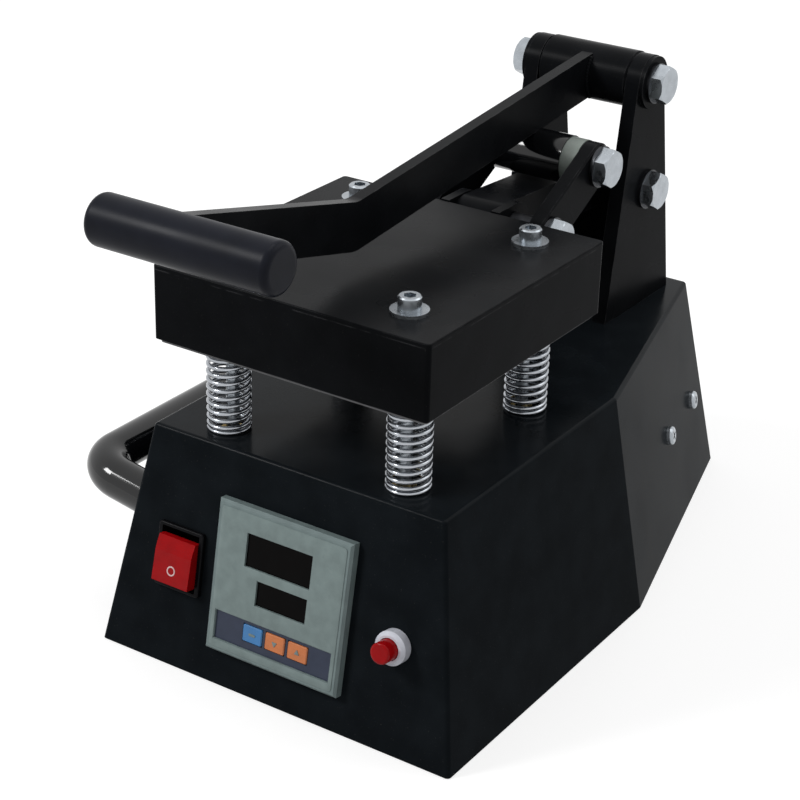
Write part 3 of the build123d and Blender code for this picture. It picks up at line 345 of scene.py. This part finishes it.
# %% [markdown]
# The screws and bolts are zinc plated, a few washers are dark steel, the springs are drawn wire, and the
# heater plate is cast aluminium, darkened by heat. Metal needs full metallic and a roughness that wanders,
# and the plating has small pits and a slight cool tint.

# %% Metal finishes
def plated(name, colour, roughness, grain_mm=0.6, stretch=(1, 1, 1)):
    metal = finish(name, colour, roughness, metallic=1.0)
    vary_colour(metal, speckle(metal, 6, 2), tinted(colour, 0.90), tinted(colour, 1.06))
    vary_roughness(metal, speckle(metal, 5, 2), roughness - 0.04, roughness + 0.08)
    emboss(metal, speckle(metal, grain_mm, 2, stretch), 0.01, 0.25)
    return metal


zinc = plated("bolt_zinc", (0.38, 0.41, 0.44), 0.27)
plate_zinc = plated("plate_zinc", (0.52, 0.53, 0.55), 0.38, 1.5)
dark_steel = plated("screw_dark", (0.045, 0.047, 0.052), 0.34)
spring_steel = plated("spring_steel", (0.40, 0.42, 0.45), 0.18, 0.5, (1, 1, 4))
brass = plated("brass", (0.60, 0.44, 0.17), 0.28)
cast = plated("cast_aluminium", (0.085, 0.085, 0.088), 0.45, 0.9)
print("metal finishes made")

# %% [markdown]
# The controller has a moulded grey-green bezel with a slate key band, a blue key and two orange keys. Its
# windows are smoked. The rocker and the button cap are glossy red plastic, the button's bezel is white.

# %% Plastic finishes
def moulded(name, colour, roughness, specular=0.5, speck_mm=6, grain=0.01):
    plastic = finish(name, colour, roughness, specular=specular)
    vary_colour(plastic, speckle(plastic, speck_mm, 3), tinted(colour, 0.92), tinted(colour, 1.07))
    vary_roughness(plastic, speckle(plastic, 9, 2), max(0.03, roughness - 0.05), roughness + 0.06)
    emboss(plastic, speckle(plastic, 0.5, 2), grain, 0.35)
    return plastic


controller_grey = moulded("controller_grey", (0.205, 0.262, 0.262), 0.38, 0.20)
film_grey = moulded("film_grey", (0.230, 0.290, 0.285), 0.30, 0.15)
band_slate = moulded("band_slate", (0.040, 0.050, 0.082), 0.35, 0.20)
window_dark = moulded("window_dark", (0.0035, 0.0030, 0.0030), 0.12, 0.03, grain=0.002)
key_blue = moulded("key_blue", (0.045, 0.220, 0.520), 0.30)
key_orange = moulded("key_orange", (0.680, 0.200, 0.055), 0.30)
switch_red = moulded("switch_red", (0.370, 0.003, 0.005), 0.16, 0.10, grain=0.004)
mark_pale = moulded("mark_pale", (0.78, 0.55, 0.55), 0.35)
switch_white = moulded("switch_white", (0.74, 0.76, 0.84), 0.22, 0.3)
bush_pale = moulded("bush_pale", (0.21, 0.24, 0.22), 0.42, 0.3)
board_green = moulded("board_green", (0.02, 0.11, 0.045), 0.40)
felt = moulded("felt_pale", (0.60, 0.58, 0.52), 0.90, 0.1, 2, 0.3)
print("plastic finishes made")

# %% [markdown]
# The record names a finish slot for each part of the frame, so one loop dresses them all.

# %% Dress the frame
slots = {
    "housing_black": black_coat, "frame_black": frame_paint, "handle_black": enamel,
    "grip_black": sleeve, "rubber_black": rubber, "inner_black": moulding,
    "switch_black": gloss_moulding, "bolt_zinc": zinc, "plate_zinc": plate_zinc, "screw_dark": dark_steel,
    "spring_steel": spring_steel, "brass": brass, "cast_aluminium": cast,
    "controller_grey": controller_grey, "band_slate": band_slate, "window_dark": window_dark,
    "key_blue": key_blue, "key_orange": key_orange, "switch_red": switch_red,
    "switch_white": switch_white, "bush_pale": bush_pale, "board_green": board_green,
    "felt_pale": felt,
}
for part in frame["record"]["subparts"]:
    node = nodes[part["node"]]
    node.data.materials.clear()
    node.data.materials.append(slots[part["material_slot"]])

# %% [markdown]
# A piece that is modelled here is adopted once it is in place: it gets its name and its finish, and the body
# that it moves with.

# %% Adopting a piece
def dress(piece, name, material):
    piece.name = name
    piece.data.name = name
    piece.data.materials.clear()
    piece.data.materials.append(material)


def adopt(piece, name, body, material):
    dress(piece, name, material)
    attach(piece, body)


# %% [markdown]
# Each spring is a round wire wound with closed ends: the first and last turns lie close together, and the
# very ends are ground flat so that the spring stands square. The Screw modifier sweeps a small circle
# round the axis. It is used in stages, each with its own pitch, and each stage starts where the last
# ended, so the rings of vertices meet and can be merged.

# %% Springs
wire = 1.05 * mm
coil_radius = 9.2 * mm
closed_pitch = 2.04 * wire
easing_pitch = 2.7 * wire
closed_turns = 1.0
easing_turns = 0.5
open_turns = 9.0
ground = 0.35 * wire
wire_sides = 14
steps_a_turn = 32
first_angle = math.radians(200)
springs_low, springs_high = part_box("springs")
spring_length = springs_high.z - springs_low.z


def coil_stage(start_turn, turns, start_z, rise):
    bpy.ops.mesh.primitive_circle_add(vertices=wire_sides, radius=wire, location=(coil_radius, 0, 0),
                                      rotation=(math.pi / 2, 0, 0))
    stage = settle(bpy.context.active_object)
    stage.matrix_world = (Matrix.Translation((0, 0, start_z))
                          @ Matrix.Rotation(first_angle + start_turn * 2 * math.pi, 4, "Z"))
    settle(stage)
    steps = round(steps_a_turn * turns)
    modify(stage, "SCREW", axis="Z", angle=turns * 2 * math.pi, screw_offset=rise, steps=steps,
           render_steps=steps, use_merge_vertices=False, use_smooth_shade=True)
    return stage


closed_rise = closed_turns * closed_pitch
easing_rise = easing_turns * easing_pitch
open_rise = spring_length - 2 * (ground + closed_rise + easing_rise)
stages = []
turn, height = 0.0, springs_low.z + ground
for turns, rise in ((closed_turns, closed_rise), (easing_turns, easing_rise), (open_turns, open_rise),
                    (easing_turns, easing_rise), (closed_turns, closed_rise)):
    stages.append(coil_stage(turn, turns, height, rise))
    turn += turns
    height += rise
spring = merged(stages)
begin_edit(spring)
bpy.ops.mesh.remove_doubles(threshold=0.05 * wire)
bpy.ops.mesh.select_all(action="SELECT")
bpy.ops.mesh.fill_holes(sides=0)
for level, outer in ((springs_low.z, False), (springs_high.z, True)):
    bpy.ops.mesh.select_all(action="SELECT")
    bpy.ops.mesh.bisect(plane_co=(0, 0, level), plane_no=(0, 0, 1), use_fill=True,
                        clear_inner=not outer, clear_outer=outer)
bpy.ops.mesh.select_all(action="SELECT")
bpy.ops.mesh.normals_make_consistent(inside=False)
end_edit()
smooth(spring, 50)
print("spring turns", turn, "open pitch", round(open_rise / open_turns / mm, 2), "mm",
      "faces", len(spring.data.polygons))

outer_radius = coil_radius + wire
for side_name, x in (("left", springs_low.x + outer_radius), ("right", springs_high.x - outer_radius)):
    for end_name, y in (("front", springs_low.y + outer_radius), ("rear", springs_high.y - outer_radius)):
        one = copy_of(spring)
        put(one, Matrix.Translation((x, y, 0)))
        dress(one, "spring_" + end_name + "_" + side_name, spring_steel)
        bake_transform(one)
        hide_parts("springs")
bpy.data.objects.remove(spring)

# %% [markdown]
# The control panel is worked on its own sloping plane. `on_front` turns a piece that was made flat, with
# x to the right and y up the wall, and lays it on the front wall at a distance out of it. The wall's foot is
# at the front of the housing's box, and its top edge is set back. Sizes on the panel are in millimetres.

# %% The sloping panel
housing_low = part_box("base_shell")[0]
front_set_back = 19.4 * mm
housing_height = 110.4 * mm
slope = math.atan2(front_set_back, housing_height)


def on_front(piece, x, up, out, lean_degrees=0.0):
    tilt = Matrix.Rotation(math.pi / 2 - slope, 4, "X")
    foot = Matrix.Translation((0, housing_low.y, 0))
    spot = Matrix.Translation((x * mm, up * mm, out * mm))
    return put(piece, foot @ tilt @ spot @ Matrix.Rotation(math.radians(lean_degrees), 4, "X"))


print("front wall leans back", round(math.degrees(slope), 2), "degrees")

# %% [markdown]
# A printed film covers the face of the controller. It starts as one square plane. Bisect cuts it along the
# edges of the two windows and of the key band, the faces inside them are deleted, the four outer corners
# are rounded by a vertex bevel, and the sheet is solidified.

# %% Controller film
control_x, control_up, control_out = 2.0, 54.3, 5.0
film_half = 33.6
film_thickness = 0.25
film_corner = 1.6
film_edge = 0.08
film_glue = 0.03
upper_window = (-18.75, 16.55, 8.9, 24.7)
lower_window = (-11.15, 16.15, -7.6, 4.2)
key_window = (-31.8, 31.8, -30.1, -15.7)
holes = (upper_window, lower_window, key_window)
column_lines = sorted(x for hole in holes for x in hole[:2])
row_lines = sorted(y for hole in holes for y in hole[2:])
bpy.ops.mesh.primitive_plane_add(size=2 * film_half * mm)
film = settle(bpy.context.active_object)
begin_edit(film)
for lines, axis in ((column_lines, (1, 0, 0)), (row_lines, (0, 1, 0))):
    for line in lines:
        bpy.ops.mesh.select_all(action="SELECT")
        bpy.ops.mesh.bisect(plane_co=[line * mm * step for step in axis], plane_no=axis)
end_edit()


def in_window(face):
    x, y = face.center.x / mm, face.center.y / mm
    return any(left < x < right and low < y < high for left, right, low, high in holes)


def at_corner(vertex):
    return min(abs(vertex.co.x), abs(vertex.co.y)) > (film_half - 0.1) * mm


begin_edit(film, "FACE", "DESELECT")
cut = pick(film, "polygons", in_window)
bpy.ops.mesh.delete(type="FACE")
end_edit()
begin_edit(film, "VERT", "DESELECT")
pick(film, "vertices", at_corner)
bpy.ops.mesh.bevel(offset=film_corner * mm, segments=5, affect="VERTICES")
end_edit()
modify(film, "SOLIDIFY", thickness=film_thickness * mm, offset=1.0)
modify(film, "BEVEL", width=film_edge * mm, segments=2, limit_method="ANGLE")
face_outwards(film)
smooth(film, 40)
on_front(film, control_x, control_up, control_out + film_glue)
adopt(film, "controller_film", "base", film_grey)
print("film faces cut out", cut, "left", len(film.data.polygons))

# %% [markdown]
# The two orange keys carry raised arrows, one down and one up, and the blue key a raised bar. An arrow is
# a low cylinder with three sides, and the bar is a round one pulled apart. Both are bevelled, and each mark
# rides with its own key.

# %% Key marks
middle_key_x, key_pitch, key_row_up = 1.4, 12.3, -22.0
key_face_out = 4.8
mark_height, mark_sunk = 0.35, 0.05


def edged(piece):
    modify(piece, "BEVEL", width=0.12 * mm, segments=3, limit_method="ANGLE")
    return smooth(piece, 40)


def arrow(turn):
    bpy.ops.mesh.primitive_cylinder_add(vertices=3, radius=1.6 * mm, depth=mark_height * mm,
                                        rotation=(0, 0, turn))
    return edged(settle(bpy.context.active_object))


def bar_mark(half_length=1.2):
    bpy.ops.mesh.primitive_cylinder_add(vertices=24, radius=0.6 * mm, depth=mark_height * mm)
    piece = settle(bpy.context.active_object)
    begin_edit(piece, "VERT", "DESELECT")
    pick(piece, "vertices", lambda v: v.co.x > 0.01 * mm)
    bpy.ops.transform.translate(value=(half_length * mm, 0, 0))
    pick(piece, "vertices", lambda v: v.co.x < 0.01 * mm)
    bpy.ops.transform.translate(value=(-half_length * mm, 0, 0))
    end_edit()
    return edged(piece)


marks = (("key_set", -1, bar_mark()), ("key_down", 0, arrow(math.pi)), ("key_up", 1, arrow(0.0)))
for body, step, piece in marks:
    on_front(piece, control_x + middle_key_x + step * key_pitch, control_up + key_row_up,
             key_face_out + mark_height / 2 - mark_sunk)
    adopt(piece, "mark_" + body, body, film_grey)
print("key marks made", len(marks))

# %% [markdown]
# The rocker carries the usual ring that stands for off. It is a torus pressed flat, laid on the long lower
# face of the rocker, which leans a little, and it rides with the rocker.

# %% Rocker mark
rocker_x, rocker_up = -55.3, 53.2
ring_down, ring_out, rocker_face_lean = -4.6, 6.9, -4.28
bpy.ops.mesh.primitive_torus_add(major_segments=48, minor_segments=12, major_radius=2.0 * mm,
                                 minor_radius=0.35 * mm)
ring = settle(bpy.context.active_object)
begin_edit(ring)
bpy.ops.transform.resize(value=(1, 1, 0.5))
end_edit()
smooth(ring, 60)
on_front(ring, rocker_x, rocker_up + ring_down, ring_out, rocker_face_lean)
adopt(ring, "rocker_ring", "rocker", mark_pale)
print("ring faces", len(ring.data.polygons))

# %% [markdown]
# The flat bar of the lever is welded to the hinge tube, and the bead shows on both of its sides. A hand
# bead is a row of overlapping drops, so small flattened spheres are set along the arc where bar and tube
# meet, joined, and turned into one skin by a voxel remesh.

# %% Weld beads
tube_low, tube_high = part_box("hinge_tube")
tube_y, tube_z = (tube_low.y + tube_high.y) / 2, (tube_low.z + tube_high.z) / 2
tube_radius = (tube_high.z - tube_low.z) / 2
bar_half_thickness = 3.0 * mm
drop_radius = 1.3 * mm
drop_lift = 0.15 * drop_radius
bead_from, bead_to, drops = math.radians(-42), math.radians(46), 15
bar_direction = math.radians(5.3)
for side_name, side in (("left", -1), ("right", 1)):
    row = []
    for index in range(drops):
        angle = bead_from + (bead_to - bead_from) * index / (drops - 1) - bar_direction
        bpy.ops.mesh.primitive_uv_sphere_add(segments=20, ring_count=12, radius=drop_radius)
        drop = settle(bpy.context.active_object)
        begin_edit(drop)
        bpy.ops.transform.resize(value=(1.0, 0.85, 1.0))
        end_edit()
        reach = tube_radius + drop_lift
        spot = (side * (bar_half_thickness + drop_lift),
                tube_y - reach * math.cos(angle), tube_z + reach * math.sin(angle))
        put(drop, Matrix.Translation(spot) @ Matrix.Rotation(-angle, 4, "X"))
        row.append(drop)
    bead = merged(row)
    modify(bead, "REMESH", mode="VOXEL", voxel_size=0.22 * mm)
    smooth(bead, 80)
    adopt(bead, "weld_bar_tube_" + side_name, "lever", frame_paint)
    print("weld", side_name, "faces", len(bead.data.polygons))

# %% [markdown]
# The studio is a pale floor under a white surround. A ray from the eye, or one mirrored in polish or passed
# through glass, has to see them as white, while the light that they cast on the press is much weaker, so
# that black stays black. Light Path tells those rays apart. The floor glows a little for them, which keeps
# its own soft shadow.

# %% Floor
def seeing(tree):
    # 1 for a ray that comes from the eye, from a mirror or through glass, and 0 for a ray of light
    path = tree.nodes.new("ShaderNodeLightPath")
    found = path.outputs["Is Camera Ray"]
    for kind in ("Is Glossy Ray", "Is Transmission Ray"):
        either = tree.nodes.new("ShaderNodeMath")
        either.operation = "MAXIMUM"
        tree.links.new(found, either.inputs[0])
        tree.links.new(path.outputs[kind], either.inputs[1])
        found = either.outputs["Value"]
    return found


floor_size = 12.0
floor_glow = 0.68
bpy.ops.mesh.primitive_grid_add(x_subdivisions=2, y_subdivisions=2, size=floor_size, location=(0, 0, -0.0005))
floor = settle(bpy.context.active_object)
floor.name = "floor"
floor_paint = finish("floor_pale", (0.50, 0.50, 0.50), 0.9, specular=0.0)
glow = ranged(floor_paint, seeing(floor_paint.node_tree), 0.0, 1.0, 0.0, floor_glow)
shader_of(floor_paint).inputs["Emission Color"].default_value = (1, 1, 1, 1)
floor_paint.node_tree.links.new(glow, shader_of(floor_paint).inputs["Emission Strength"])
floor.data.materials.append(floor_paint)
print("floor", floor_size, "m across")

# %% [markdown]
# The world is white to the eye and weak as a lamp. A broad weak lamp stands behind on the right, a smaller
# one in front on the left draws the bright lines on enamel and steel, and a third hangs above.

# %% World and lamps
world_light = 0.37
world = bpy.data.worlds.new("studio")
bpy.context.scene.world = world
world.use_nodes = True
surround = world.node_tree.nodes["Background"]
surround.inputs["Color"].default_value = (1, 1, 1, 1)
level = ranged(world, seeing(world.node_tree), 0.0, 1.0, world_light, 1.0)
world.node_tree.links.new(level, surround.inputs["Strength"])


def soft_lamp(name, place, aim, size, watts):
    data = bpy.data.lights.new(name, "AREA")
    data.size = size
    data.energy = watts
    lamp = bpy.data.objects.new(name, data)
    bpy.context.scene.collection.objects.link(lamp)
    lamp.location = place
    lamp.rotation_mode = "QUATERNION"
    lamp.rotation_quaternion = (Vector(aim) - Vector(place)).to_track_quat("-Z", "Y")


aim = (0, 0, 0.12)
soft_lamp("lamp_rear_right", (1.7, 1.3, 1.9), aim, 1.6, 12)
soft_lamp("lamp_front_left", (-1.5, -1.6, 1.8), aim, 0.7, 33)
soft_lamp("lamp_above", (0.0, 0.3, 2.6), aim, 1.5, 14)
bpy.context.scene.view_settings.view_transform = "Standard"
print("lamps", len(bpy.data.lights))
